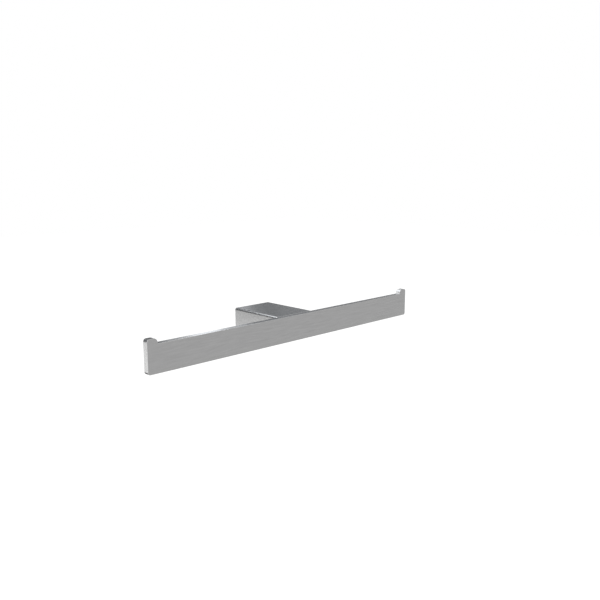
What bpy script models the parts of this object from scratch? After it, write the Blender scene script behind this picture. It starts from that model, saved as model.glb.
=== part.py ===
"""Double toilet roll holder in brushed stainless steel, at its real size.

A flat bar carries one roll on each side of a short box-shaped post. Each end of the bar turns up
into a small rounded stop, so that a roll is lifted over it and can't slide off. Two cap screws hold
the bar to the post from inside. The post is a hollow sleeve: it slides over a bent bracket that is
screwed to the wall, and a grub screw from below draws it tight.

Metres. The origin is the middle of the face that meets the wall, +X runs along the bar, +Y goes
into the wall and +Z is up.
"""

import math

import bmesh
import bpy
import numpy as np

# Bar: one flat plate, cut to its outline
bar_length = 0.300
bar_height = 0.0221
bar_thickness = 0.005
bar_edge_radius = 0.0004
bar_corner_radius = 0.002

# Upturned stop at each end of the bar
stop_rise = 0.0042
stop_width = 0.009
stop_outer_radius_share = 0.245
stop_inner_radius_share = 0.82
stop_foot_radius_share = 0.165

# Post: a hollow sleeve, level with the bar's top and bottom
post_reach = 0.0615
post_width = 0.041
post_wall = 0.0025
post_front_wall = 0.003
post_corner_radius = 0.002
post_edge_radius = 0.0004
cavity_corner_radius = 0.0005

# Gaps: one where pieces seat on each other, one round a thread, one where the sleeve slides
seat_gap = 0.0003
thread_gap = 0.00015
slide_gap = 0.0003

# Cap screws that hold the bar, M4, with a split washer under each head
cap_screw_diameter = 0.004
cap_head_diameter = 0.007
cap_head_height = 0.004
cap_head_edge = 0.0004
cap_socket_across_flats = 0.003
cap_socket_depth = 0.002
cap_screw_tip_chamfer = 0.0005
cap_screw_clearance = 0.00025
cap_screw_place_share = 0.25
tapped_hole_floor = 0.001
tapped_hole_tip_room = 0.0004
washer_outer_diameter = 0.0072
washer_inner_diameter = 0.0044
washer_thickness = 0.001
washer_slit = 0.0008
washer_slit_corner = 0.0002
washer_slit_slant = math.radians(25)

# Wall bracket: a strip bent to a U, with its legs pointing away from the wall
bracket_thickness = 0.002
bracket_bend_radius = 0.001
bracket_slot_width = 0.0045
bracket_slot_length_share = 0.23
bracket_slot_place_share = 0.29
bracket_leg_edge = 0.005

# Grub screw, M4 with a cone point, up through the underside of the post
grub_diameter = 0.004
grub_inset = 0.008
grub_recess = 0.0003
grub_point_diameter = 0.001
grub_socket_across_flats = 0.002
grub_socket_depth_share = 0.6
grub_seat_diameter = 0.0034

# How finely curves are cut, and how far a cutter runs past what it cuts
corner_steps = 8
small_corner_steps = 4
round_steps = 28
edge_steps = 3
hexagon_sides = 6
overrun = 0.001
weld_distance = 0.000003

# A turn sharper than the first angle is rounded, and one sharper than the second is shaded crisp
rounded_from = math.radians(50)
crisp_from = math.radians(30)

# Steel: how light and how rough each kind is
brushed_shade, brushed_roughness = 0.58, 0.32
plain_shade, plain_roughness = 0.55, 0.40
fastener_shade, fastener_roughness = 0.50, 0.30

# Places worked out from the sizes above
bar_front_y = -post_reach
bar_rear_y = bar_front_y + bar_thickness
bar_top_z = bar_height / 2
post_front_y = bar_rear_y + seat_gap
cavity_front_y = post_front_y + post_front_wall
cavity_width = post_width - 2 * post_wall
cavity_height = bar_height - 2 * post_wall
cap_screw_x = cap_screw_place_share * post_width
bracket_width = cavity_width - 2 * slide_gap
bracket_height = cavity_height - 2 * slide_gap
bracket_leg = grub_inset + bracket_leg_edge
post_underside_z = -bar_top_z
cavity_floor_z = post_underside_z + post_wall

# Turns: a piece drawn flat is stood up, turned sideways, or laid with its head towards the wall
right_angle = math.radians(90)
upright = (right_angle, 0, 0)
sideways = (right_angle, 0, right_angle)
head_to_wall = (-right_angle, 0, 0)
unturned = (0, 0, 0)


def clear_scene():
    for item in list(bpy.data.objects):
        bpy.data.objects.remove(item)


def new_collection(name):
    made = bpy.data.collections.new(name)
    bpy.context.scene.collection.children.link(made)
    return made


def arc(centre_x, centre_y, radius, start, end, steps):
    """Points of a round corner, from angle start to angle end in degrees."""
    turn = np.radians(np.linspace(start, end, steps + 1))
    return np.stack([centre_x + radius * np.cos(turn), centre_y + radius * np.sin(turn)], axis=1)


def rounded_rectangle(width, height, radius, steps):
    """The outline of a rectangle about the origin with round corners, counter-clockwise."""
    x = width / 2 - radius
    y = height / 2 - radius
    return np.concatenate([
        arc(x, -y, radius, -90, 0, steps),
        arc(x, y, radius, 0, 90, steps),
        arc(-x, y, radius, 90, 180, steps),
        arc(-x, -y, radius, 180, 270, steps),
    ])


def slot_outline(length, width, steps):
    """A slot about the origin, along x: two half circles joined by straight sides."""
    reach = (length - width) / 2
    return np.concatenate([
        arc(reach, 0, width / 2, -90, 90, steps),
        arc(-reach, 0, width / 2, 90, 270, steps),
    ])


def bar_outline():
    """The bar seen from the front, counter-clockwise, with its mid-height at y = 0.

    The right half is written out and the left half mirrors it: bottom corner, the stop's outer
    corner, its inner corner, and the hollow foot where the stop grows out of the bar's top.
    """
    end = bar_length / 2
    crown = bar_top_z + stop_rise
    outer = stop_outer_radius_share * stop_width
    inner = stop_inner_radius_share * stop_rise
    foot = stop_foot_radius_share * stop_rise
    inner_side = end - stop_width
    right = np.concatenate([
        arc(end - bar_corner_radius, bar_corner_radius - bar_top_z, bar_corner_radius, -90, 0, corner_steps),
        arc(end - outer, crown - outer, outer, 0, 90, corner_steps),
        arc(inner_side + inner, crown - inner, inner, 90, 180, corner_steps),
        arc(inner_side - foot, bar_top_z + foot, foot, 0, -90, corner_steps),
    ])
    left = right[::-1] * [-1, 1]
    return np.concatenate([right, left])


def bracket_outline():
    """The bent strip seen from its side: x away from the wall is negative, y is up."""
    top = bracket_height / 2
    outside = bracket_bend_radius + bracket_thickness
    bend_y = top - outside
    skin = np.concatenate([
        arc(-outside, -bend_y, outside, -90, 0, corner_steps),
        arc(-outside, bend_y, outside, 0, 90, corner_steps),
    ])
    inside = np.concatenate([
        arc(-outside, bend_y, bracket_bend_radius, 90, 0, corner_steps),
        arc(-outside, -bend_y, bracket_bend_radius, 0, -90, corner_steps),
    ])
    lower_tip = [[-bracket_leg, bracket_thickness - top], [-bracket_leg, -top]]
    upper_tip = [[-bracket_leg, top], [-bracket_leg, top - bracket_thickness]]
    return np.concatenate([skin, upper_tip, inside, lower_tip])


def place(item, location, rotation, collection):
    item.location = location
    item.rotation_euler = rotation
    item.parent = datum
    for holder in list(item.users_collection):
        holder.objects.unlink(item)
    collection.objects.link(item)
    return item


def as_cutter(item):
    item.hide_render = True
    item.display_type = "WIRE"
    return item


def prism(name, outline, depth, location, rotation, collection):
    """A flat outline in its own XY plane, thickened by depth about that plane."""
    curve = bpy.data.curves.new(name, "CURVE")
    curve.dimensions = "2D"
    curve.fill_mode = "BOTH"
    curve.extrude = depth / 2
    spline = curve.splines.new("POLY")
    spline.points.add(len(outline) - 1)
    for point, (x, y) in zip(spline.points, outline):
        point.co = (x, y, 0, 1)
    spline.use_cyclic_u = True
    drawn = bpy.data.objects.new(name, curve)
    bpy.context.scene.collection.objects.link(drawn)
    bpy.context.view_layer.update()
    evaluated = drawn.evaluated_get(bpy.context.evaluated_depsgraph_get())
    mesh = bpy.data.meshes.new_from_object(evaluated)
    bpy.data.objects.remove(drawn)
    work = bmesh.new()
    work.from_mesh(mesh)
    bmesh.ops.remove_doubles(work, verts=work.verts, dist=weld_distance)
    bmesh.ops.recalc_face_normals(work, faces=work.faces)
    work.to_mesh(mesh)
    work.free()
    return place(bpy.data.objects.new(name, mesh), location, rotation, collection)


def cylinder(name, radius, depth, location, rotation, collection, sides=round_steps):
    """A round or, with six sides, a hexagonal bar about its own Z axis."""
    mesh = bpy.data.meshes.new(name)
    work = bmesh.new()
    bmesh.ops.create_cone(
        work, cap_ends=True, segments=sides, radius1=radius, radius2=radius, depth=depth
    )
    work.to_mesh(mesh)
    work.free()
    return place(bpy.data.objects.new(name, mesh), location, rotation, collection)


def turned(name, profile, location, rotation, closed=False):
    """A profile of (radius, height) points, listed from its top down its outer side, turned about Z."""
    mesh = bpy.data.meshes.new(name)
    points = [(radius, 0, height) for radius, height in profile]
    edges = [(i, i + 1) for i in range(len(points) - 1)]
    if closed:
        edges.append((len(points) - 1, 0))
    mesh.from_pydata(points, edges, [])
    item = place(bpy.data.objects.new(name, mesh), location, rotation, parts)
    turn = item.modifiers.new("turn", "SCREW")
    turn.steps = round_steps
    turn.render_steps = round_steps
    turn.use_merge_vertices = True
    turn.merge_threshold = weld_distance
    turn.use_normal_calculate = not closed
    return item


def round_edges(item, radius):
    """Rounds the sharp edges of a plate and leaves the short turns of its arcs alone."""
    bevel = item.modifiers.new("edges", "BEVEL")
    bevel.width = radius
    bevel.segments = edge_steps
    bevel.limit_method = "ANGLE"
    bevel.angle_limit = rounded_from


def cut(item, cutter):
    boolean = item.modifiers.new(cutter.name, "BOOLEAN")
    boolean.operation = "DIFFERENCE"
    boolean.solver = "EXACT"
    boolean.object = as_cutter(cutter)


def finish(item, material):
    """Gives the piece its material, and smooth shading over its round sides."""
    item.data.materials.append(material)
    item.data.shade_smooth()
    item.data.set_sharp_from_angle(angle=crisp_from)
    return item


def steel(name, shade, roughness):
    material = bpy.data.materials.new(name)
    material.use_nodes = True
    shader = material.node_tree.nodes["Principled BSDF"]
    shader.inputs["Base Color"].default_value = (shade, shade, shade, 1)
    shader.inputs["Metallic"].default_value = 1
    shader.inputs["Roughness"].default_value = roughness
    return material


def hexagon_radius(across_flats):
    return across_flats / (2 * math.cos(math.pi / hexagon_sides))


def make_roll_bar(material):
    """The bar, with two blind holes in its back for the cap screws."""
    middle_y = (bar_front_y + bar_rear_y) / 2
    bar = prism("roll_bar", bar_outline(), bar_thickness, (0, middle_y, 0), upright, parts)
    round_edges(bar, bar_edge_radius)
    hole_radius = cap_screw_diameter / 2 + thread_gap
    hole_depth = bar_thickness - tapped_hole_floor
    depth = hole_depth + overrun
    for side, x in (("left", -cap_screw_x), ("right", cap_screw_x)):
        place_y = bar_rear_y - hole_depth + depth / 2
        cut(bar, cylinder(f"tapped_hole_{side}", hole_radius, depth, (x, place_y, 0), upright, cutters))
    return finish(bar, material)


def make_post_sleeve(material):
    """The hollow post: open to the wall, with a front wall that the cap screws go through."""
    depth = -post_front_y
    outline = rounded_rectangle(post_width, bar_height, post_corner_radius, corner_steps)
    sleeve = prism("post_sleeve", outline, depth, (0, post_front_y / 2, 0), upright, parts)
    round_edges(sleeve, post_edge_radius)

    hollow = rounded_rectangle(cavity_width, cavity_height, cavity_corner_radius, small_corner_steps)
    hollow_depth = overrun - cavity_front_y
    hollow_y = cavity_front_y + hollow_depth / 2
    cut(sleeve, prism("hollow", hollow, hollow_depth, (0, hollow_y, 0), upright, cutters))

    through = post_front_wall + 2 * overrun
    through_y = post_front_y + post_front_wall / 2
    hole_radius = cap_screw_diameter / 2 + cap_screw_clearance
    for side, x in (("left", -cap_screw_x), ("right", cap_screw_x)):
        cut(sleeve, cylinder(f"front_hole_{side}", hole_radius, through, (x, through_y, 0), upright, cutters))

    grub_hole_radius = grub_diameter / 2 + thread_gap
    grub_hole_depth = post_wall + 2 * overrun
    grub_hole_place = (0, -grub_inset, (post_underside_z + cavity_floor_z) / 2)
    cut(sleeve, cylinder("grub_hole", grub_hole_radius, grub_hole_depth, grub_hole_place, unturned, cutters))
    return finish(sleeve, material)


def make_cap_screw(side, x, material):
    """A cap screw with its head towards the wall, from inside the post into the bar."""
    washer_y = cavity_front_y + seat_gap
    head_y = washer_y + washer_thickness + seat_gap
    tip_y = bar_front_y + tapped_hole_floor + tapped_hole_tip_room
    shank = head_y - tip_y
    radius = cap_screw_diameter / 2
    head_radius = cap_head_diameter / 2
    profile = [
        (0, cap_head_height),
        (head_radius - cap_head_edge, cap_head_height),
        (head_radius, cap_head_height - cap_head_edge),
        (head_radius, 0),
        (radius, 0),
        (radius, cap_screw_tip_chamfer - shank),
        (radius - cap_screw_tip_chamfer, -shank),
        (0, -shank),
    ]
    screw = turned(f"bar_screw_{side}", profile, (x, head_y, 0), head_to_wall)
    socket_depth = cap_socket_depth + overrun
    socket_y = head_y + cap_head_height - cap_socket_depth + socket_depth / 2
    socket = cylinder(
        f"cap_socket_{side}",
        hexagon_radius(cap_socket_across_flats),
        socket_depth,
        (x, socket_y, 0),
        upright,
        cutters,
        sides=hexagon_sides,
    )
    cut(screw, socket)
    return finish(screw, material)


def make_lock_washer(side, x, material):
    """A split spring washer, drawn flat as it is under a tight screw, with a slanted slit at its top."""
    outside = washer_outer_diameter / 2
    inside = washer_inner_diameter / 2
    half = washer_thickness / 2
    profile = [(inside, half), (outside, half), (outside, -half), (inside, -half)]
    middle_y = cavity_front_y + seat_gap + half
    washer = turned(f"lock_washer_{side}", profile, (x, middle_y, 0), head_to_wall, closed=True)
    band = (inside + outside) / 2
    slit_length = outside - inside + 2 * overrun
    slit_height = 2 * (washer_thickness + overrun)
    slit = prism(
        f"washer_slit_{side}",
        rounded_rectangle(slit_length, washer_slit, washer_slit_corner, 1),
        slit_height,
        (x, middle_y, band),
        (right_angle, right_angle, washer_slit_slant),
        cutters,
    )
    cut(washer, slit)
    return finish(washer, material)


def make_wall_bracket(material):
    """The bent bracket: two slots for the wall screws, and a hole in each leg for the grub's point."""
    bracket = prism("wall_bracket", bracket_outline(), bracket_width, (0, 0, 0), sideways, parts)
    slot = slot_outline(bracket_slot_length_share * bracket_width, bracket_slot_width, corner_steps)
    slot_depth = bracket_thickness + 2 * overrun
    slot_x = bracket_slot_place_share * bracket_width
    for side, x in (("left", -slot_x), ("right", slot_x)):
        location = (x, -bracket_thickness / 2, 0)
        cut(bracket, prism(f"wall_slot_{side}", slot, slot_depth, location, upright, cutters))
    seat_depth = bracket_height + 2 * overrun
    seat = cylinder("grub_seat", grub_seat_diameter / 2, seat_depth, (0, -grub_inset, 0), unturned, cutters)
    cut(bracket, seat)
    return finish(bracket, material)


def make_grub_screw(material):
    """A headless screw, up through the post's underside, its cone point in the bracket's lower leg."""
    radius = grub_diameter / 2
    point = grub_point_diameter / 2
    foot_z = post_underside_z + grub_recess
    cone_start_z = cavity_floor_z - seat_gap
    cone = radius - point
    body = cone_start_z - foot_z
    profile = [
        (0, body + cone),
        (point, body + cone),
        (radius, body),
        (radius, 0),
        (0, 0),
    ]
    screw = turned("grub_screw", profile, (0, -grub_inset, foot_z), unturned)
    socket_depth = grub_socket_depth_share * (body + cone)
    socket = cylinder(
        "grub_socket",
        hexagon_radius(grub_socket_across_flats),
        socket_depth + overrun,
        (0, -grub_inset, foot_z + (socket_depth - overrun) / 2),
        unturned,
        cutters,
        sides=hexagon_sides,
    )
    cut(screw, socket)
    return finish(screw, material)


clear_scene()
parts = new_collection("double_toilet_roll_holder")
cutters = new_collection("cutters")
cutters.hide_render = True
datum = bpy.data.objects.new("wall_datum", None)
parts.objects.link(datum)

brushed = steel("brushed_stainless", brushed_shade, brushed_roughness)
plain = steel("plain_stainless", plain_shade, plain_roughness)
fastener = steel("fastener_steel", fastener_shade, fastener_roughness)

make_roll_bar(brushed)
make_post_sleeve(brushed)
for screw_side, screw_x in (("left", -cap_screw_x), ("right", cap_screw_x)):
    make_cap_screw(screw_side, screw_x, fastener)
    make_lock_washer(screw_side, screw_x, fastener)
make_wall_bracket(plain)
make_grub_screw(fastener)
bpy.context.view_layer.update()
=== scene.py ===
"""Double toilet roll holder in brushed stainless steel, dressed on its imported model.

Metres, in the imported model's frame: the origin is the middle of the face that meets the wall, +X
runs along the bar, +Y goes into the wall and +Z is up. Every piece is worked out with numpy as
patches that share their rims, so that each one is a single closed surface.
"""

import math

import bpy
import numpy as np
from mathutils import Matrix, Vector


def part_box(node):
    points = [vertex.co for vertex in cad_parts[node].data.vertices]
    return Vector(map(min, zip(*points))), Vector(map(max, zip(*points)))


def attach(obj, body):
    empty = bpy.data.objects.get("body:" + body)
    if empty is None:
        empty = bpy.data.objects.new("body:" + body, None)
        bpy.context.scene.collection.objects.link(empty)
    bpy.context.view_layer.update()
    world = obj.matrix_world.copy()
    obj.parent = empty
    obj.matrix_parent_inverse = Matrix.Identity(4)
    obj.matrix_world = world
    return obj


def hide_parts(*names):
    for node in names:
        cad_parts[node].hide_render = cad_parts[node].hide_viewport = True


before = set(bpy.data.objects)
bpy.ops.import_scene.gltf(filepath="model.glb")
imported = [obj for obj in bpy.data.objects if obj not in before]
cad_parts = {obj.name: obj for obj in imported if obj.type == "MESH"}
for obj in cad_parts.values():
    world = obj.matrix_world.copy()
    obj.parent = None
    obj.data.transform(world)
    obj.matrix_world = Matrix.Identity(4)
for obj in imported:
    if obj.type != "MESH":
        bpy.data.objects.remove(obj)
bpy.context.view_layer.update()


def packed_box(node):
    return [np.array(corner, float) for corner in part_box(node)]


bar_low, bar_high = packed_box("roll_bar")
post_low, post_high = packed_box("post_sleeve")
screw_low, screw_high = packed_box("bar_screw_right")
washer_low, washer_high = packed_box("lock_washer_right")
bracket_low, bracket_high = packed_box("wall_bracket")
grub_low, grub_high = packed_box("grub_screw")

# Bar
bar_front_y = bar_low[1]
bar_rear_y = bar_high[1]
bar_top_z = post_high[2]
bar_end_x = bar_high[0]
stop_crown_z = bar_high[2]
bar_edge_radius = 0.0003
bar_corner_radius = 0.002
stop_width = 0.009
stop_outer_radius = 0.0022
stop_inner_radius = 0.00344
stop_foot_radius = 0.00069

# Post
seam = 0.00005
post_front_y = bar_rear_y + seam
post_corner_radius = 0.002
post_front_edge_radius = 0.0003
post_rear_edge_radius = 0.0004
post_wall = 0.0025
post_front_wall = 0.003
cavity_front_y = post_low[1] + post_front_wall
cavity_corner_radius = 0.0005
grub_inset = -(grub_low[1] + grub_high[1]) / 2
grub_hole_radius = 0.00215
screw_x = (screw_low[0] + screw_high[0]) / 2
screw_hole_radius = 0.00225
tapped_hole_radius = 0.00215
tapped_hole_depth = 0.004
tapped_hole_cone = 0.0012

# Cap screws and grub screw: coarse M4 threads
shank_radius = 0.002
thread_pitch = 0.0007
thread_depth = 0.00038
thread_steepness = 1.3
thread_crest = 0.15
head_radius = (screw_high[2] - screw_low[2]) / 2
head_height = 0.004
head_edge = 0.0004
head_fillet = 0.0002
# Painted highlight on the head's rounded edge
head_edge_rub_and_highlight = 0.6
knurl_teeth = 30
knurl_depth = 0.00014
knurl_clear = 0.0006
knurl_top_share = 0.15
knurl_foot_share = 0.4
knurl_fade_share = 0.25
tip_chamfer = 0.0005
cap_socket_across_flats = 0.003
cap_socket_depth = 0.002
grub_socket_across_flats = 0.002
grub_socket_depth = 0.002
socket_mouth = 0.00012
socket_cone = 0.0004
socket_floor_share = 0.97
grub_point_radius = 0.0005
# Painted highlight on the grub's foot chamfer
grub_foot_rub_and_highlight = 0.5

# Split washers
washer_outer_radius = (washer_high[2] - washer_low[2]) / 2
washer_inner_radius = 0.0022
washer_edge_radius = 0.00012
washer_slit = 0.0008
washer_slant = math.radians(25)

# Wall bracket
bracket_thickness = 0.002
bracket_bend_radius = 0.001
bracket_edge_radius = 0.00025
bracket_slot_radius = 0.00225
bracket_slot_length_share = 0.23
bracket_slot_place_share = 0.29
grub_seat_radius = 0.0017

# How finely curves are cut
corner_steps = 16
edge_steps = 8
hole_steps = 48
screw_columns = 120
rows_per_turn = 12
knurl_fade_rows = 6
washer_stations = 96
washer_corner_steps = 4
crisp_angle = math.radians(40)
weld_distance = 1.37e-7

# Brushing: hair lines and blotches, each drawn out along X to a share
noise_roughness = 0.6
hair_lines_per_metre = 2600
hair_line_stretch = 0.018
hair_line_detail = 2
hair_line_share = 0.3
blotches_per_metre = 600
blotch_stretch = 0.1
blotch_detail = 3

# Brushed steel: tones between the two shades, and a painted highlight on the edges, which are also
# smoother
brushed_shades = (0.48, 0.53)
brushed_tones = (0.35, 0.65)
brushed_roughness = 0.2
brushed_roughness_spread = 0.03
# Painted highlight: the edges' grey is the lighter shade times this gain
brushed_highlight_gain = 1.12
brushed_rub_roughness = -0.08
brushed_anisotropy = 0.35
brushed_anisotropy_turn = 0.25
brushed_bump = (0.12, 0.00002)
bar_brush_way = (1, 0, 0.05)
post_brush_way = (0.05, 1, 0.05)

# Mill-finish sheet of the bracket
sheet_lines_per_metre = 1500
sheet_blotches_per_metre = 160
sheet_line_share = 0.35
sheet_grain_per_metre = 9000
sheet_grain_share = 0.25
sheet_tones = (0.36, 0.64)
sheet_shades = (0.36, 0.5)
# Painted highlight on the sheet's edges
sheet_highlight_shade = 0.62
sheet_roughness = (0.5, 0.36)
sheet_bump = (0.2, 0.00001)

# Formed steel of the screws and washers
mottle_per_metre = 1400
mottle_detail = 4
formed_grain_per_metre = 12000
formed_grain_share = 0.3
formed_tones = (0.36, 0.64)
# Painted shade in the thread roots and sockets, painted highlight on the crests
root_painted_shades = (0.28, 0.38)
crest_highlight_shades = (0.5, 0.6)
formed_rub_share = 0.5
formed_roughness = (0.42, 0.24)
formed_bump = (0.15, 0.00001)

# Camera, fitted to the photo's straight edges, with its turns in degrees
camera_place = (-0.39472, -0.46260, 0.13036)
camera_lens = 40.369
camera_sensor = 36
camera_tilt = 79.271
camera_turn = -44.597

# Floor, as far below as a roll holder hangs
floor_z = -0.66
floor_reach = 8.0
floor_paint = 0.3
floor_light = 0.8

# Studio cards: the nearest one covers the others where they overlap
card_distance = 1.073
card_spacing = 0.0012
card_step = 1.5
floor_card_distance = 0.64


def arc(centre_x, centre_z, radius, start, end, steps=corner_steps, hollow=False):
    """A round corner: rows of x, z and the direction that the surface faces there.

    The point is centre + radius (cos t, sin t), with t from start to end in degrees. It faces away
    from the centre, or towards it where the corner is hollow.
    """
    t = np.radians(np.linspace(start, end, steps + 1))
    ray = np.stack([np.cos(t), np.sin(t)], axis=1)
    return np.concatenate([[centre_x, centre_z] + radius * ray, -ray if hollow else ray], axis=1)


def bar_outline():
    """The bar seen from the front, counter-clockwise from the middle of its right end.

    Only the right half is written out, and the left half mirrors it.
    """
    inner_side = bar_end_x - stop_width
    outer = stop_outer_radius
    inner = stop_inner_radius
    foot = stop_foot_radius
    upper = np.concatenate([
        [[bar_end_x, 0, 1, 0]],
        arc(bar_end_x - outer, stop_crown_z - outer, outer, 0, 90),
        arc(inner_side + inner, stop_crown_z - inner, inner, 90, 180),
        arc(inner_side - foot, bar_top_z + foot, foot, 0, -90, hollow=True),
    ])
    corner = bar_corner_radius
    lower = arc(bar_end_x - corner, corner - bar_top_z, corner, -90, 0)
    mirror = [-1, 1, -1, 1]
    return np.concatenate([upper, upper[::-1] * mirror, lower[::-1] * mirror, lower])


def rounded_rectangle(half_width, half_height, radius, steps=corner_steps):
    """A rectangle about the origin with round corners, counter-clockwise from its right."""
    x = half_width - radius
    z = half_height - radius
    return np.concatenate([
        [[half_width, 0, 1, 0]],
        arc(x, z, radius, 0, 90, steps),
        arc(-x, z, radius, 90, 180, steps),
        [[-half_width, 0, -1, 0]],
        arc(-x, -z, radius, 180, 270, steps),
        arc(x, -z, radius, 270, 360, steps),
    ])


def inset(outline, distance):
    """The outline moved inwards, each point by distance against the direction that it faces."""
    moved = outline.copy()
    moved[:, :2] -= distance * outline[:, 2:]
    return moved


def edge_round(face, radius, side):
    """Stations over a rounded edge beside a flat face, which faces backwards where side is -1.

    Each is inset, place, how much of the normal points out of the outline, how much along the way
    that the outline is carried, and the mask for the painted highlight and smoother steel on the
    edge. With t from 90 degrees at the face to 0 at the side: inset = r (1 - cos t) and
    place = face - side r (1 - sin t).
    """
    t = np.radians(np.linspace(90, 0, edge_steps + 1))
    return np.stack([
        radius * (1 - np.cos(t)),
        face - side * radius * (1 - np.sin(t)),
        np.cos(t),
        side * np.sin(t),
        # Mask of the painted highlight and of smoother steel, strongest half way round the edge
        np.sin(2 * t),
    ], axis=1)


def patch(points, normals, faces, rub_and_highlight=0.0, together=False, grain=None):
    """A piece of surface, with every face turned to point the way that its normals say.

    Where its faces go together, all of them turn the way that most of them say. The grain is where
    each point lies in the brushing, which runs along the grain's X: its own place if not given.
    """
    grain = (points if grain is None else grain).reshape(-1, 3)
    rub_and_highlight = np.broadcast_to(rub_and_highlight, points.shape[:-1]).reshape(-1)
    normals = np.broadcast_to(normals, points.shape).reshape(-1, 3)
    points = points.reshape(-1, 3)
    faces = np.asarray(faces)
    corners = points[faces]
    facing = np.cross(corners, np.roll(corners, -1, axis=1)).sum(axis=1)
    against = (facing * normals[faces].sum(axis=1)).sum(axis=1) < 0
    if together:
        against[:] = against.mean() > 0.5
    faces = np.where(against[:, None], faces[:, ::-1], faces)
    return {"points": points, "normals": normals, "faces": faces, "rub_and_highlight": rub_and_highlight, "grain": grain}


def grid_faces(rows, columns, close):
    """Four-sided faces over a grid of points."""
    index = np.arange(rows * columns).reshape(rows, columns)
    if close:
        index = np.concatenate([index, index[:, :1]], axis=1)
    corners = [index[:-1, :-1], index[1:, :-1], index[1:, 1:], index[:-1, 1:]]
    return np.stack(corners, axis=-1).reshape(-1, 4)


def carried(outline, stations, openings=(), along_x=False, brushed_round=False):
    """The outline carried over the stations along Y: (x - inset nx, place, z - inset nz).

    Along X instead, its two directions are Y and Z. An opening is (first row, end row, column):
    both faces beside that corner of the outline are left out there, for a panel with holes. Where
    it is brushed round, its grain is (way round the outline, place, 0).
    """
    move, way, out, along, rub_and_highlight = (stations[:, k, None] for k in range(5))
    rows, columns = len(stations), len(outline)
    x, z, nx, nz = np.concatenate([outline, outline[:1]]).T
    points = np.stack([x - move * nx, way + 0 * x, z - move * nz], axis=-1)
    normals = np.stack([out * nx, along + 0 * nx, out * nz], axis=-1)
    if along_x:
        points = points[..., [1, 0, 2]]
        normals = normals[..., [1, 0, 2]]
    kept = np.ones((rows - 1, columns), bool)
    for first, end, column in openings:
        kept[first:end, [column - 1, column]] = False
    faces = grid_faces(rows, columns + 1, False)[kept.reshape(-1)]
    grain = None
    if brushed_round:
        run = np.concatenate([[0], np.cumsum(np.hypot(np.diff(x), np.diff(z)))])
        grain = np.stack([run + 0 * way, way + 0 * run, 0 * way * run], axis=-1)
    return patch(points, normals, faces, rub_and_highlight, grain=grain)


def laid(loop, depth, facing):
    """Points (across, along) in the plane at this depth that faces along Y or Z."""
    level = np.full(len(loop), depth)
    order = [loop[:, 0], level, loop[:, 1]] if facing == "Y" else [loop[:, 0], loop[:, 1], level]
    return np.stack(order, axis=1)


def flat(loop, depth, facing, side):
    """One flat face with this rim, facing forwards or, where side is -1, backwards."""
    normal = np.array([0.0, side, 0.0] if facing == "Y" else [0.0, 0.0, side])
    return patch(laid(loop, depth, facing), normal, [np.arange(len(loop))])


def half_rim(hole, level, upper):
    """Half a hole's rim: over its top from left to right, or under it from right to left.

    A hole is (x, radius, reach): two half circles of that radius, each moved reach away from x.
    """
    x, radius, reach = hole
    t = np.radians(np.linspace(180, 90, hole_steps // 4 + 1))
    t = np.concatenate([t, np.pi - t[::-1]])
    shift = np.repeat([-reach, reach], len(t) // 2)
    rim = np.stack([shift + radius * np.cos(t), radius * np.sin(t)], axis=1)
    return [x, level] + (rim if upper else -rim)


def pierced(outline, holes, level=0.0):
    """An outline with holes along a level line, as one loop above the line and one below.

    The outline is counter-clockwise and has a corner on that line at its right and at its left. The
    holes are listed from left to right.
    """
    points = outline[:, :2]
    on_line = np.flatnonzero(np.abs(points[:, 1] - level) < weld_distance)
    right = on_line[np.argmax(points[on_line, 0])]
    left = on_line[np.argmin(points[on_line, 0])]
    points = np.roll(points, -right, axis=0)
    left = (left - right) % len(points)
    over = [half_rim(hole, level, True) for hole in holes]
    under = [half_rim(hole, level, False) for hole in reversed(holes)]
    above = np.concatenate([points[: left + 1], *over])
    below = np.concatenate([points[left:], points[:1], *under])
    return above, below


def panel(outline, holes, level, depth, facing, side):
    """A flat face with holes along a level line."""
    return [flat(loop, depth, facing, side) for loop in pierced(outline, holes, level)]


def panel_rim(half, low, level, high):
    """A panel's four corners and the two points of its level line, counter-clockwise."""
    right = [[half, level], [half, high]]
    left = [[-half, high], [-half, level], [-half, low]]
    return np.array([*right, *left, [half, low]])


def bore(hole, level, near, far, facing):
    """The wall of a hole between two flat faces."""
    rim = np.concatenate([half_rim(hole, level, True), half_rim(hole, level, False)])
    points = np.stack([laid(rim, near, facing), laid(rim, far, facing)])
    x, radius, reach = hole
    inward = [x, level] - rim
    inward[:, 0] += reach * np.sign(rim[:, 0] - x)
    normals = laid(inward / radius, 0.0, facing)
    return patch(points, normals, grid_faces(2, len(rim), True))


def blind_bore(x, radius, mouth_y, depth, cone):
    """A blind hole along -Y from its mouth, with a drill's cone at its foot."""
    t = np.arange(hole_steps) * (2 * np.pi / hole_steps)
    ray = np.stack([np.cos(t), 0 * t, np.sin(t)], axis=1)
    floor_y = mouth_y - depth
    centre = np.array([x, 0.0, 0.0])
    wall_foot = centre + radius * ray + [0, floor_y + cone, 0]
    mouth = centre + radius * ray + [0, mouth_y, 0]
    point = centre + 0 * ray + [0, floor_y, 0]
    slope = (radius * np.array([0, 1, 0]) - cone * ray) / math.hypot(radius, cone)
    faces = grid_faces(2, hole_steps, True)
    wall = patch(np.stack([mouth, wall_foot]), -ray, faces)
    return [wall, patch(np.stack([wall_foot, point]), slope, faces)]


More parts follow.
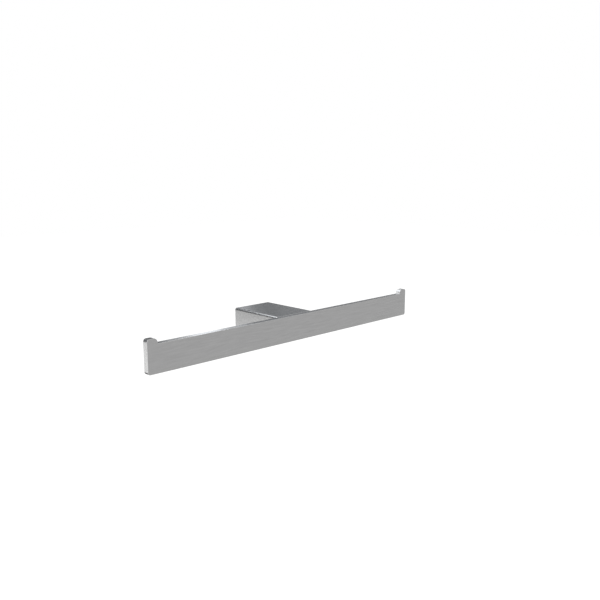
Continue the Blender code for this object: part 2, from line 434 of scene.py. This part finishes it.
def build(name, patches, material, node, crisp=None):
    """Welds the patches' rims and makes the mesh that replaces the node.

    It keeps the patches' own normals or, where crisp is an angle, smooths every turn below it.
    """
    points = np.concatenate([item["points"] for item in patches])
    normals = np.concatenate([item["normals"] for item in patches])
    rub_and_highlight = np.concatenate([item["rub_and_highlight"] for item in patches])
    grain = np.concatenate([item["grain"] for item in patches])
    cells = np.round(points / weld_distance).astype(np.int64)
    _, kept, welded = np.unique(cells, axis=0, return_index=True, return_inverse=True)
    welded = welded.reshape(-1)
    polygons = []
    corners = []
    start = 0
    for item in patches:
        faces = item["faces"] + start
        start += len(item["points"])
        joined = welded[faces]
        doubled = joined == np.roll(joined, 1, axis=1)
        whole = ~doubled.any(axis=1)
        polygons.extend(joined[whole].tolist())
        corners.append(faces[whole].reshape(-1))
        for face, row, drop in zip(faces[~whole], joined[~whole], doubled[~whole]):
            if (~drop).sum() > 2:
                polygons.append(row[~drop].tolist())
                corners.append(face[~drop])
    corners = np.concatenate(corners)
    used = np.unique(np.concatenate(polygons))
    number = np.zeros(len(kept), int)
    number[used] = np.arange(len(used))
    kept = kept[used]
    mesh = bpy.data.meshes.new(name)
    mesh.from_pydata(points[kept].tolist(), [], [number[polygon].tolist() for polygon in polygons])
    # Mask of painted highlight and of smoother steel at each point
    rub_and_highlight_layer = mesh.attributes.new("rub_and_highlight", "FLOAT", "POINT")
    rub_and_highlight_layer.data.foreach_set("value", rub_and_highlight[kept])
    brushed = mesh.attributes.new("grain", "FLOAT_VECTOR", "CORNER")
    brushed.data.foreach_set("vector", grain[corners].reshape(-1))
    if crisp is None:
        mesh.polygons.foreach_set("use_smooth", np.ones(len(mesh.polygons), bool))
        mesh.normals_split_custom_set(normals[corners].tolist())
    else:
        mesh.shade_smooth()
        mesh.set_sharp_from_angle(angle=crisp)
    mesh.update()
    piece = bpy.data.objects.new(name, mesh)
    bpy.context.scene.collection.objects.link(piece)
    mesh.materials.append(material)
    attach(piece, "root")
    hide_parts(node)


def make_bar(material):
    """The bar: its outline with rounded edges, a flat front, and a back with two tapped holes."""
    outline = bar_outline()
    stations = np.concatenate([
        edge_round(bar_front_y, bar_edge_radius, -1),
        edge_round(bar_rear_y, bar_edge_radius, 1)[::-1],
    ])
    face = inset(outline, bar_edge_radius)
    holes = [(-screw_x, tapped_hole_radius, 0.0), (screw_x, tapped_hole_radius, 0.0)]
    patches = [carried(outline, stations, brushed_round=True)]
    patches.append(flat(face[:, :2], bar_front_y, "Y", -1))
    patches += panel(face, holes, 0.0, bar_rear_y, "Y", 1)
    for x, radius, _ in holes:
        patches += blind_bore(x, radius, bar_rear_y, tapped_hole_depth, tapped_hole_cone)
    build("brushed_bar", patches, material, "roll_bar")


def with_middle(rim, hole, depth, side):
    """A panel that faces up or down, whose front and rear rims have a corner at their middles."""
    loops = pierced(rim, [hole], -grub_inset)
    return [flat(np.insert(loop, 2, [0, loop[1, 1]], axis=0), depth, "Z", side) for loop in loops]


def make_post(material):
    """The hollow post: outer skin, cavity, front wall with two screw holes, and the grub's hole."""
    half_width = post_high[0]
    half_height = post_high[2]
    outline = rounded_rectangle(half_width, half_height, post_corner_radius)
    underside = len(outline) - corner_steps - 1
    outline = np.insert(outline, underside, [0, -half_height, 0, -1], axis=0)
    front_edge = edge_round(post_front_y, post_front_edge_radius, -1)
    rear_edge = edge_round(0.0, post_rear_edge_radius, 1)[::-1]
    grub_row = np.array([[0, -grub_inset, 1, 0, 0]])
    stations = np.concatenate([front_edge, grub_row, rear_edge])
    opening = (edge_steps, edge_steps + 2, underside)
    patches = [carried(outline, stations, [opening])]

    grub_hole = (0.0, grub_hole_radius, 0.0)
    skin_half = half_width - post_corner_radius
    skin_rim = panel_rim(skin_half, front_edge[-1, 1], -grub_inset, rear_edge[0, 1])
    patches += with_middle(skin_rim, grub_hole, -half_height, -1)

    cavity_floor = post_wall - half_height
    cavity_half = half_width - post_wall
    cavity = rounded_rectangle(cavity_half, -cavity_floor, cavity_corner_radius)
    cavity = np.insert(cavity, underside, [0, cavity_floor, 0, -1], axis=0)
    cavity_stations = np.array([
        [0, cavity_front_y, -1, 0, 0],
        [0, -grub_inset, -1, 0, 0],
        [0, 0, -1, 0, 0],
    ])
    patches.append(carried(cavity, cavity_stations, [(0, 2, underside)]))
    floor_half = cavity_half - cavity_corner_radius
    floor_rim = panel_rim(floor_half, cavity_front_y, -grub_inset, 0.0)
    patches += with_middle(floor_rim, grub_hole, cavity_floor, 1)
    patches.append(bore(grub_hole, -grub_inset, -half_height, cavity_floor, "Z"))

    rear_face = inset(outline, post_rear_edge_radius)
    rim = np.stack([laid(rear_face, 0.0, "Y"), laid(cavity, 0.0, "Y")])
    patches.append(patch(rim, np.array([0.0, 1, 0]), grid_faces(2, len(outline), True)))

    holes = [(-screw_x, screw_hole_radius, 0.0), (screw_x, screw_hole_radius, 0.0)]
    patches += panel(inset(outline, post_front_edge_radius), holes, 0.0, post_front_y, "Y", -1)
    patches += panel(cavity, holes, 0.0, cavity_front_y, "Y", 1)
    for hole in holes:
        patches.append(bore(hole, 0.0, post_front_y, cavity_front_y, "Y"))
    build("brushed_post", patches, material, "post_sleeve")


def bracket_outline():
    """The bent strip from its side, as y, z and the direction faced, and its corners at the holes.

    The corners are on the back plate's middle line, outside and inside, and on the grub's line on
    both faces of both legs.
    """
    top = bracket_high[2]
    leg_end = bracket_low[1]
    inner = top - bracket_thickness
    edge = bracket_edge_radius
    bend = bracket_bend_radius + bracket_thickness
    runs = [
        arc(-bend, bend - top, bend, -90, 0),
        [[0, 0, 1, 0]],
        arc(-bend, top - bend, bend, 0, 90),
        [[-grub_inset, top, 0, 1]],
        arc(leg_end + edge, top - edge, edge, 90, 180, edge_steps),
        arc(leg_end + edge, inner + edge, edge, 180, 270, edge_steps),
        [[-grub_inset, inner, 0, -1]],
        arc(-bend, top - bend, bracket_bend_radius, 90, 0, hollow=True),
        [[-bracket_thickness, 0, -1, 0]],
        arc(-bend, bend - top, bracket_bend_radius, 0, -90, hollow=True),
        [[-grub_inset, -inner, 0, 1]],
        arc(leg_end + edge, -inner - edge, edge, 90, 180, edge_steps),
        arc(leg_end + edge, edge - top, edge, 180, 270, edge_steps),
        [[-grub_inset, -top, 0, -1]],
    ]
    ends = np.cumsum([len(run) for run in runs])
    singles = [end - 1 for run, end in zip(runs, ends) if len(run) == 1]
    return np.concatenate(runs), singles


def make_bracket(material):
    """The bent strip with rounded edges, two slots in its back and the grub's hole in each leg."""
    outline, singles = bracket_outline()
    half_width = bracket_high[0]
    stations = np.concatenate([
        edge_round(-half_width, bracket_edge_radius, -1),
        edge_round(half_width, bracket_edge_radius, 1)[::-1],
    ])
    openings = [(edge_steps, edge_steps + 1, column) for column in singles]
    patches = [carried(outline, stations, openings, along_x=True)]
    for side, x in ((-1, -half_width), (1, half_width)):
        rim = inset(outline, bracket_edge_radius)
        points = np.stack([np.full(len(rim), x), rim[:, 0], rim[:, 1]], axis=1)
        patches.append(patch(points, np.array([side, 0.0, 0.0]), [np.arange(len(rim))]))

    slot_reach = bracket_slot_length_share * half_width - bracket_slot_radius
    slot_x = 2 * bracket_slot_place_share * half_width
    slots = [(-slot_x, bracket_slot_radius, slot_reach), (slot_x, bracket_slot_radius, slot_reach)]
    seat = [(0.0, grub_seat_radius, 0.0)]
    flat_half = half_width - bracket_edge_radius
    for column in singles:
        y, z, ny, nz = outline[column]
        before, after = outline[column - 1], outline[(column + 1) % len(outline)]
        facing, side, depth, way = ("Y", ny, y, 1) if ny else ("Z", nz, z, 0)
        level = outline[column, way]
        low, high = sorted([before[way], after[way]])
        rim = panel_rim(flat_half, low, level, high)
        patches += panel(rim, slots if facing == "Y" else seat, level, depth, facing, side)
    for slot in slots:
        patches.append(bore(slot, 0.0, 0.0, -bracket_thickness, "Y"))
    for top in (bracket_high[2], bracket_thickness - bracket_high[2]):
        patches.append(bore(seat[0], -grub_inset, top, top - bracket_thickness, "Z"))
    build("bent_wall_bracket", patches, material, "wall_bracket")


def hexagon(t, across_flats):
    """A hexagon's radius at the angle t: half across the flats / cos of the angle to a flat."""
    sector = math.pi / 3
    return across_flats / 2 / np.cos((t % sector) - sector / 2)


def threaded(start, end, t, tip_end):
    """Rows of a screw thread from one height to another, with a cone over its last part at tip_end.

    The radius falls from the crest into a groove whose depth follows a triangle wave of
    height / pitch + t / full turn, cut flat at its crest and its root.
    """
    rows = max(int(abs(end - start) / thread_pitch * rows_per_turn), 2) + 1
    height = np.linspace(start, end, rows)[:, None]
    phase = (height / thread_pitch + t / (2 * np.pi)) % 1
    groove = np.clip(thread_steepness * np.abs(2 * phase - 1) - thread_crest, 0, 1)
    cone = shank_radius - tip_chamfer + np.abs(height - tip_end)
    radius = np.minimum(shank_radius - thread_depth * groove, cone)
    # The third row masks the painted highlight on the crests and the painted shade in the grooves
    return height + 0 * t, radius, (1 - groove) + 0 * height


def ring(height, radius, t, rub_and_highlight=0.0):
    """One row at a height, with a radius that may change with the angle t."""
    return height + 0 * t[None], radius + 0 * t[None], rub_and_highlight + 0 * t[None]


def socket(t, mouth, depth, across_flats, way):
    """Rows from a hexagonal socket's bottom up to its countersunk mouth. The head faces way."""
    hexes = hexagon(t, across_flats)
    floor = mouth - way * depth
    # Painted shade inside the socket, painted highlight on its mouth
    return [
        ring(floor - way * socket_cone, 0.0, t),
        ring(floor, socket_floor_share * across_flats / 2, t),
        ring(floor, hexes, t),
        ring(mouth - way * socket_mouth, hexes, t),
        ring(mouth, hexes + socket_mouth, t, 1.0),
    ]


def spun(rows, t, centre, axis, side):
    """Rows of (height, radius, painted highlight mask) round an axis, as one closed surface that
    faces outwards.

    The point is centre + height axis + radius (cos t side + sin t other), with other at a right
    angle to both. The normals are the cross products of the surface's two slopes.
    """
    height, radius, rub_and_highlight = (np.concatenate(column)[..., None] for column in zip(*rows))
    axis = np.asarray(axis, float)
    side = np.asarray(side, float)
    turn = t[:, None]
    ray = np.cos(turn) * side + np.sin(turn) * np.cross(axis, side)
    points = np.asarray(centre) + height * axis + radius * ray
    down = np.gradient(points, axis=0)
    round_way = np.roll(points, -1, axis=1) - np.roll(points, 1, axis=1)
    normals = np.cross(down, round_way)
    outward = (normals * (radius * ray)).sum()
    faces = grid_faces(*points.shape[:2], True)
    return patch(points, normals * np.sign(outward), faces, rub_and_highlight[..., 0], together=True)


def make_cap_screw(name, node, x, material):
    """A socket cap screw: knurled head towards the wall, threaded shank into the bar."""
    t = np.arange(screw_columns) * (2 * np.pi / screw_columns)
    top = screw_high[1]
    seat = top - head_height
    tip = screw_low[1]
    fade = np.linspace(0, 1, knurl_fade_rows)
    tooth = 0.5 + 0.5 * np.cos(knurl_teeth * t + math.pi)
    rows = socket(t, top, cap_socket_depth, cap_socket_across_flats, 1)
    # Painted highlight on the head's rounded edge
    rows.append(ring(top, head_radius - head_edge, t, head_edge_rub_and_highlight))
    rows.append(ring(top - head_edge, head_radius, t, head_edge_rub_and_highlight))
    # Painted shade in the knurl's grooves, painted highlight on its teeth
    for share in fade:
        height = top - head_edge - knurl_clear * (knurl_top_share + share * knurl_fade_share)
        rows.append(ring(height, head_radius - knurl_depth * share * tooth, t, 1 - share * tooth))
    for share in fade[::-1]:
        height = seat + knurl_clear * (knurl_foot_share + share * knurl_fade_share)
        rows.append(ring(height, head_radius - knurl_depth * share * tooth, t, 1 - share * tooth))
    rows += [
        ring(seat + head_fillet, head_radius, t),
        ring(seat, head_radius - head_fillet, t),
        ring(seat, shank_radius + head_fillet, t),
        ring(seat - head_fillet, shank_radius, t),
    ]
    rows.append(threaded(seat - 2 * head_fillet, tip, t, tip))
    rows.append(ring(tip, 0.0, t))
    surface = spun(rows, t, (x, 0, 0), (0, 1, 0), (1, 0, 0))
    build(name, [surface], material, node, crisp_angle)


def make_grub_screw(material):
    """A headless screw: socket at its foot, thread, and a blunt cone point."""
    t = np.arange(screw_columns) * (2 * np.pi / screw_columns)
    foot, point = grub_low[2], grub_high[2]
    cone_start = point - (shank_radius - grub_point_radius)
    rows = socket(t, foot, grub_socket_depth, grub_socket_across_flats, -1)
    # Painted highlight on the foot's chamfer and on the point's tip
    rows.append(ring(foot, shank_radius - tip_chamfer, t, grub_foot_rub_and_highlight))
    rows.append(threaded(foot, cone_start, t, foot))
    rows.append(ring(cone_start, shank_radius - thread_depth, t))
    rows.append(ring(point, grub_point_radius, t, 1.0))
    rows.append(ring(point, 0.0, t))
    surface = spun(rows, t, (0, -grub_inset, 0), (0, 0, 1), (1, 0, 0))
    build("threaded_grub_screw", [surface], material, "grub_screw", crisp_angle)


def make_lock_washer(name, node, x, material):
    """A split washer: a small rounded section carried round, from one slanted end to the other.

    The turn at height h is t = slit / 2 r + h tan(slant) / r at one end, and a full turn less
    slit / 2 r, plus the same slant, at the other.
    """
    middle_y = (washer_low[1] + washer_high[1]) / 2
    middle_radius = (washer_outer_radius + washer_inner_radius) / 2
    half_band = (washer_outer_radius - washer_inner_radius) / 2
    half_height = (washer_high[1] - washer_low[1]) / 2
    section = rounded_rectangle(half_band, half_height, washer_edge_radius, washer_corner_steps)
    out, up, nout, nup = section.T
    half_slit = washer_slit / 2 / middle_radius
    slant = up * math.tan(washer_slant) / middle_radius
    share = np.linspace(0, 1, washer_stations)[:, None]
    turn = math.pi / 2 + half_slit + slant + share * (2 * math.pi - 2 * half_slit)
    radius = middle_radius + out
    cos, sin = np.cos(turn), np.sin(turn)
    points = np.stack([x + radius * cos, middle_y + up + 0 * cos, radius * sin], axis=-1)
    normals = np.stack([nout * cos, nup + 0 * cos, nout * sin], axis=-1)
    # Painted highlight on the rounded corners of the section
    rims = np.abs(nout * nup) * 2
    patches = [patch(points, normals, grid_faces(*points.shape[:2], True), rims)]
    for row, way in ((0, 1), (-1, -1)):
        across = way * np.array([math.cos(washer_slant), -math.sin(washer_slant), 0])
        patches.append(patch(points[row], across, [np.arange(len(section))]))
    build(name, patches, material, node, crisp_angle)


def add_node(tree, kind, **settings):
    made = tree.nodes.new(kind)
    for name, value in settings.items():
        setattr(made, name, value)
    return made


def noise_node(tree, vector, scale, detail):
    """A noise over the vector, with a fixed scale or one that a socket gives."""
    made = add_node(tree, "ShaderNodeTexNoise")
    made.inputs["Detail"].default_value = detail
    made.inputs["Roughness"].default_value = noise_roughness
    if isinstance(scale, bpy.types.NodeSocket):
        tree.links.new(scale, made.inputs["Scale"])
    else:
        made.inputs["Scale"].default_value = scale
    tree.links.new(vector, made.inputs["Vector"])
    return made.outputs["Fac"]


def stretched(tree, vector, share):
    """The vector with its X shortened to a share, so that a pattern on it is drawn out along X."""
    made = add_node(tree, "ShaderNodeVectorMath", operation="MULTIPLY")
    made.inputs[1].default_value = (share, 1, 1)
    tree.links.new(vector, made.inputs[0])
    return made.outputs[0]


def weighed(tree, first, second, share):
    """The mean of two values, with the second one's share."""
    part = add_node(tree, "ShaderNodeMath", operation="MULTIPLY")
    part.inputs[1].default_value = 1 - share
    tree.links.new(first, part.inputs[0])
    both = add_node(tree, "ShaderNodeMath", operation="MULTIPLY_ADD")
    both.inputs[1].default_value = share
    tree.links.new(second, both.inputs[0])
    tree.links.new(part.outputs[0], both.inputs[2])
    return both.outputs[0]


def brushing_group():
    """Brushing along X of the vector: a tone and a height, both from 0 to 1 about a half.

    The tone is made of hair lines and of soft blotches where the belt bit more or less.
    """
    group = bpy.data.node_groups.new("brushing", "ShaderNodeTree")
    sockets = group.interface
    sockets.new_socket("Vector", in_out="INPUT", socket_type="NodeSocketVector")
    for name, value in (
        ("Lines per metre", hair_lines_per_metre),
        ("Blotches per metre", blotches_per_metre),
        ("Line share", hair_line_share),
    ):
        socket_made = sockets.new_socket(name, in_out="INPUT", socket_type="NodeSocketFloat")
        socket_made.default_value = value
    sockets.new_socket("Tone", in_out="OUTPUT", socket_type="NodeSocketFloat")
    sockets.new_socket("Height", in_out="OUTPUT", socket_type="NodeSocketFloat")
    entry = add_node(group, "NodeGroupInput").outputs
    leave = add_node(group, "NodeGroupOutput").inputs
    line_vector = stretched(group, entry["Vector"], hair_line_stretch)
    lines = noise_node(group, line_vector, entry["Lines per metre"], hair_line_detail)
    blotch_vector = stretched(group, entry["Vector"], blotch_stretch)
    blotches = noise_node(group, blotch_vector, entry["Blotches per metre"], blotch_detail)
    spread = add_node(group, "ShaderNodeMix", data_type="FLOAT")
    group.links.new(entry["Line share"], spread.inputs["Factor"])
    group.links.new(blotches, spread.inputs["A"])
    group.links.new(lines, spread.inputs["B"])
    group.links.new(spread.outputs["Result"], leave["Tone"])
    group.links.new(lines, leave["Height"])
    return group


def toned(tree, tone, low, high, to_low, to_high):
    """A value that runs from to_low to to_high as the tone runs from low to high."""
    made = add_node(tree, "ShaderNodeMapRange")
    ends = (("From Min", low), ("From Max", high), ("To Min", to_low), ("To Max", to_high))
    for name, value in ends:
        made.inputs[name].default_value = value
    tree.links.new(tone, made.inputs["Value"])
    return made.outputs["Result"]


def grey_mix(tree, share, first, second):
    """A grey between two others. Each of these is a shade or another node's colour."""
    made = add_node(tree, "ShaderNodeMix", data_type="RGBA")
    tree.links.new(share, made.inputs["Factor"])
    for name, value in (("A", first), ("B", second)):
        if isinstance(value, float):
            made.inputs[name].default_value = (value, value, value, 1)
        else:
            tree.links.new(value, made.inputs[name])
    return made.outputs["Result"]


def steel_base(name):
    """An empty steel material: tree, shader, the piece's own coordinates and painted highlight
    mask.
    """
    material = bpy.data.materials.new(name)
    material.use_nodes = True
    tree = material.node_tree
    shader = tree.nodes["Principled BSDF"]
    shader.inputs["Metallic"].default_value = 1
    place = add_node(tree, "ShaderNodeTexCoord").outputs["Object"]
    rub_and_highlight = add_node(tree, "ShaderNodeAttribute", attribute_name="rub_and_highlight").outputs["Fac"]
    return material, tree, shader.inputs, place, rub_and_highlight


def add_bump(tree, shader, height, strength, distance):
    bump = add_node(tree, "ShaderNodeBump")
    bump.inputs["Strength"].default_value = strength
    bump.inputs["Distance"].default_value = distance
    tree.links.new(height, bump.inputs["Height"])
    tree.links.new(bump.outputs[0], shader["Normal"])


def brushed_steel(name, group, turn, brush_way):
    """Stainless steel brushed along its grain, with a painted highlight on its smoother edges."""
    material, tree, shader, _, rub_and_highlight = steel_base(name)
    shader["Anisotropic"].default_value = brushed_anisotropy
    shader["Anisotropic Rotation"].default_value = brushed_anisotropy_turn
    grain = add_node(tree, "ShaderNodeAttribute", attribute_name="grain")
    way = add_node(tree, "ShaderNodeMapping")
    way.inputs["Rotation"].default_value = (0, 0, math.radians(turn))
    tree.links.new(grain.outputs["Vector"], way.inputs["Vector"])
    brushing = add_node(tree, "ShaderNodeGroup")
    brushing.node_tree = group
    tree.links.new(way.outputs[0], brushing.inputs["Vector"])

    tone = toned(tree, brushing.outputs["Tone"], *brushed_tones, 0, 1)
    colour = grey_mix(tree, tone, *brushed_shades)
    # Painted highlight: the edges are a paler grey than the brushing
    bright = brushed_shades[1] * brushed_highlight_gain
    tree.links.new(grey_mix(tree, rub_and_highlight, colour, bright), shader["Base Color"])

    roughest = brushed_roughness + brushed_roughness_spread
    finest = brushed_roughness - brushed_roughness_spread
    rough = toned(tree, tone, 0, 1, roughest, finest)
    smoother = add_node(tree, "ShaderNodeMath", operation="MULTIPLY_ADD")
    smoother.inputs[1].default_value = brushed_rub_roughness
    tree.links.new(rub_and_highlight, smoother.inputs[0])
    tree.links.new(rough, smoother.inputs[2])
    tree.links.new(smoother.outputs[0], shader["Roughness"])

    tangent = add_node(tree, "ShaderNodeCombineXYZ")
    for axis, value in zip("XYZ", brush_way):
        tangent.inputs[axis].default_value = value
    tree.links.new(tangent.outputs[0], shader["Tangent"])
    add_bump(tree, shader, brushing.outputs["Height"], *brushed_bump)
    return material


def rolled_steel(name, group):
    """Mill-finish sheet: cloudy grey drawn out along it, rolling lines, and painted highlight on
    edges.
    """
    material, tree, shader, place, rub_and_highlight = steel_base(name)
    brushing = add_node(tree, "ShaderNodeGroup")
    brushing.node_tree = group
    brushing.inputs["Lines per metre"].default_value = sheet_lines_per_metre
    brushing.inputs["Blotches per metre"].default_value = sheet_blotches_per_metre
    brushing.inputs["Line share"].default_value = sheet_line_share
    tree.links.new(place, brushing.inputs["Vector"])
    grain = noise_node(tree, place, sheet_grain_per_metre, 1)
    cloud = weighed(tree, brushing.outputs["Tone"], grain, sheet_grain_share)
    tone = toned(tree, cloud, *sheet_tones, 0, 1)
    colour = grey_mix(tree, tone, *sheet_shades)
    # Painted highlight: the edges are this paler grey
    tree.links.new(grey_mix(tree, rub_and_highlight, colour, sheet_highlight_shade), shader["Base Color"])
    tree.links.new(toned(tree, tone, 0, 1, *sheet_roughness), shader["Roughness"])
    add_bump(tree, shader, grain, *sheet_bump)
    return material


def fastener_steel(name):
    """Formed steel: painted shade in its roots, painted highlight on its crests, with a soft
    mottle.
    """
    material, tree, shader, place, rub_and_highlight = steel_base(name)
    mottle = noise_node(tree, place, mottle_per_metre, mottle_detail)
    grain = noise_node(tree, place, formed_grain_per_metre, 1)
    mixed = weighed(tree, mottle, grain, formed_grain_share)
    tone = toned(tree, mixed, *formed_tones, 0, 1)
    # Painted shade where the mask is low, painted highlight where it is high
    root = grey_mix(tree, tone, *root_painted_shades)
    crest = grey_mix(tree, tone, *crest_highlight_shades)
    tree.links.new(grey_mix(tree, rub_and_highlight, root, crest), shader["Base Color"])
    rough = weighed(tree, tone, rub_and_highlight, formed_rub_share)
    tree.links.new(toned(tree, rough, 0, 1, *formed_roughness), shader["Roughness"])
    add_bump(tree, shader, grain, *formed_bump)
    return material


def glow(name, colour, strength):
    material = bpy.data.materials.new(name)
    material.use_nodes = True
    tree = material.node_tree
    tree.nodes.clear()
    out = add_node(tree, "ShaderNodeOutputMaterial")
    light = add_node(tree, "ShaderNodeEmission")
    light.inputs["Color"].default_value = (*colour, 1)
    light.inputs["Strength"].default_value = strength
    tree.links.new(light.outputs[0], out.inputs["Surface"])
    return material


def studio_card(name, azimuths, elevations, distance, colour, strength):
    """A curved card round the object, with its angles in degrees.

    The point is distance (sin az cos el, cos az cos el, sin el). The camera and matt surfaces
    don't see the card.
    """
    azimuth, elevation = (
        np.radians(np.linspace(start, end, math.ceil((end - start) / card_step) + 1))
        for start, end in (azimuths, elevations)
    )
    elevation = elevation[:, None]
    points = distance * np.stack([
        np.sin(azimuth) * np.cos(elevation),
        np.cos(azimuth) * np.cos(elevation),
        np.sin(elevation) + 0 * azimuth,
    ], axis=-1)
    mesh = bpy.data.meshes.new(name)
    faces = grid_faces(*points.shape[:2], False)
    mesh.from_pydata(points.reshape(-1, 3).tolist(), [], faces.tolist())
    mesh.materials.append(glow(name, colour, strength))
    card = bpy.data.objects.new(name, mesh)
    bpy.context.scene.collection.objects.link(card)
    card.visible_camera = False
    card.visible_diffuse = False


def make_floor():
    """A pale floor, white where the eye or the steel sees it."""
    mesh = bpy.data.meshes.new("floor")
    ways = ((-1, -1), (1, -1), (1, 1), (-1, 1))
    points = [(x * floor_reach, y * floor_reach, floor_z) for x, y in ways]
    mesh.from_pydata(points, [], [(0, 1, 2, 3)])
    floor = bpy.data.objects.new("floor", mesh)
    bpy.context.scene.collection.objects.link(floor)
    material = bpy.data.materials.new("pale_floor")
    material.use_nodes = True
    tree = material.node_tree
    tree.nodes.clear()
    link = tree.links.new
    out = add_node(tree, "ShaderNodeOutputMaterial")
    paint = add_node(tree, "ShaderNodeBsdfDiffuse")
    paint.inputs["Color"].default_value = (floor_paint, floor_paint, floor_paint, 1)
    light = add_node(tree, "ShaderNodeEmission")
    both = add_node(tree, "ShaderNodeAddShader")
    path = add_node(tree, "ShaderNodeLightPath")
    seen = add_node(tree, "ShaderNodeMath", operation="ADD")
    link(path.outputs["Is Camera Ray"], seen.inputs[0])
    link(path.outputs["Is Glossy Ray"], seen.inputs[1])
    through = add_node(tree, "ShaderNodeMath", operation="ADD", use_clamp=True)
    link(seen.outputs[0], through.inputs[0])
    link(path.outputs["Is Transmission Ray"], through.inputs[1])
    strength = add_node(tree, "ShaderNodeMath", operation="MULTIPLY")
    strength.inputs[1].default_value = floor_light
    link(through.outputs[0], strength.inputs[0])
    link(strength.outputs[0], light.inputs["Strength"])
    link(paint.outputs[0], both.inputs[0])
    link(light.outputs[0], both.inputs[1])
    link(both.outputs[0], out.inputs["Surface"])
    mesh.materials.append(material)


def make_world():
    world = bpy.data.worlds.new("studio")
    bpy.context.scene.world = world
    world.use_nodes = True
    background = world.node_tree.nodes["Background"]
    background.inputs["Color"].default_value = (1, 1, 1, 1)
    background.inputs["Strength"].default_value = 1


def make_camera():
    camera = bpy.data.cameras.new("camera")
    camera.lens = camera_lens
    camera.sensor_width = camera_sensor
    holder = bpy.data.objects.new("camera", camera)
    holder.location = camera_place
    holder.rotation_euler = (math.radians(camera_tilt), 0, math.radians(camera_turn))
    bpy.context.scene.collection.objects.link(holder)
    bpy.context.scene.camera = holder


bpy.context.scene.view_settings.view_transform = "Standard"
make_camera()
make_world()
make_floor()

brushing = brushing_group()
make_bar(brushed_steel("bar_steel", brushing, 0, bar_brush_way))
make_post(brushed_steel("post_steel", brushing, 90, post_brush_way))
make_bracket(rolled_steel("bracket_steel", brushing))
screw_steel = fastener_steel("screw_steel")
for hand, x in (("left", -screw_x), ("right", screw_x)):
    make_cap_screw(f"knurled_screw_{hand}", f"bar_screw_{hand}", x, screw_steel)
    make_lock_washer(f"split_washer_{hand}", f"lock_washer_{hand}", x, screw_steel)
make_grub_screw(screw_steel)

plain = (1.0, 1.0, 1.0)
cool = (0.97, 1.0, 1.04)
studio = (
    ("front_card", (64, 190.5), (-36, 60), 0.672, plain),
    ("back_dark_card", (-44, 28), (-8, 40), 0.2, cool),
    ("back_strip_light", (32, 36), (4, 24), 1.57, cool),
    ("low_left_light", (-52, -32), (-20, -12), 1.35, plain),
    ("right_low_dark_card", (44, 64), (8, 16), 0.31, cool),
    ("left_low_strip_light", (-64, -52), (-16, 12), 3.0, plain),
    ("left_strip_light", (-60, -52), (12, 24), 2.8, plain),
    ("far_left_strip_light", (-104, -100), (-4, 44), 3.27, plain),
    ("left_dark_card", (-112, -40), (-12, 24), 0.2, plain),
    ("low_dark_card", (-112, 8), (-36, -20), 0.2, plain),
    ("right_softbox", (40, 64), (36, 56), 2.4, cool),
    ("back_upper_dark_card", (-16, 36), (16, 44), 0.25, cool),
    ("back_grey_card", (-28, 40), (12, 32), 0.74, cool),
    ("left_softbox", (-52, 4), (16, 60), 2.5, cool),
    ("right_dark_card", (32, 60), (4, 32), 0.23, cool),
)
for place, (card_name, azimuths, elevations, strength, colour) in enumerate(studio):
    distance = card_distance + place * card_spacing
    studio_card(card_name, azimuths, elevations, distance, colour, strength)
studio_card("floor_card", (-60, 150), (-89.9, -36), floor_card_distance, plain, 0.2)
